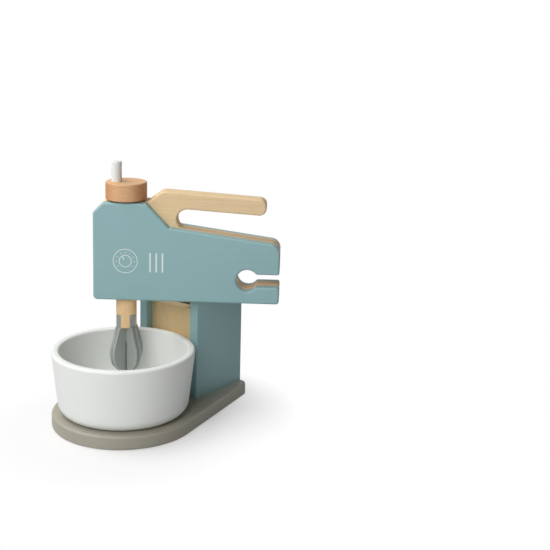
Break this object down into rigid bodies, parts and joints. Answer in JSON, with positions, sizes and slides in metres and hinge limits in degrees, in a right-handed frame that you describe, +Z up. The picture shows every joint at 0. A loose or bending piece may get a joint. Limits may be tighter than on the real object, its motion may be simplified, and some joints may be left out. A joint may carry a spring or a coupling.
{
  "type": "toy hand mixer with stand and bowl",
  "caption": "Wooden toy mixer lying on a hollow column over a turned bowl on a flat base; a crank peg on top turns a crossed-blade whisk, and the mixer lifts off by its handle.",
  "frame": {"origin": "on the floor, under the centre of the round front end of the base plate", "axes": "+Z up; +X from the bowl to the column along the base; +Y to the left of someone who looks along +X"},
  "size_m": [0.1799, 0.1558, 0.219],
  "materials": {
    "blue_paint": "satin blue-green paint on wood",
    "grey_paint": "satin warm grey paint on wood",
    "white_paint": "smooth white lacquer on turned wood",
    "light_wood": "bare sanded light wood",
    "beech": "bare turned beech",
    "whisk_grey": "satin grey paint on plywood",
    "peg_white": "white lacquer on a dowel",
    "screw_steel": "zinc-plated steel",
    "washer_felt": "grey plastic washer"
  },
  "bodies": {
    "stand": {"base_plate": "grey_paint", "base_screws": "screw_steel", "column_panel_left": "blue_paint", "column_panel_right": "blue_paint", "column_board_front": "light_wood", "column_board_rear": "light_wood", "column_dowels": "beech"},
    "bowl": {"bowl": "white_paint"},
    "mixer": {"mixer_plate_printed": "blue_paint", "mixer_plate_plain": "blue_paint", "mixer_core": "light_wood", "mixer_dowels": "beech"},
    "whisk_drive": {"drive_shaft": "beech", "crank_knob": "beech", "crank_peg": "peg_white", "knob_washer": "washer_felt", "hub_washer": "washer_felt", "whisk_hub": "beech", "whisk_blade_first": "whisk_grey", "whisk_blade_second": "whisk_grey"}
  },
  "joints": [
    {"name": "mixer_lift", "type": "slide", "parent": "stand", "child": "mixer", "axis": [0, 0, 1], "range_m": [0, 0.12]},
    {"name": "whisk_turn", "type": "hinge", "parent": "mixer", "child": "whisk_drive", "pos_m": [0.02339, 0.0206, 0.12], "axis": [0, 0, 1], "continuous": true},
    {"name": "bowl_turn", "type": "hinge", "parent": "stand", "child": "bowl", "pos_m": [-0.0016, 0, 0.0116], "axis": [0, 0, 1], "continuous": true}
  ]
}
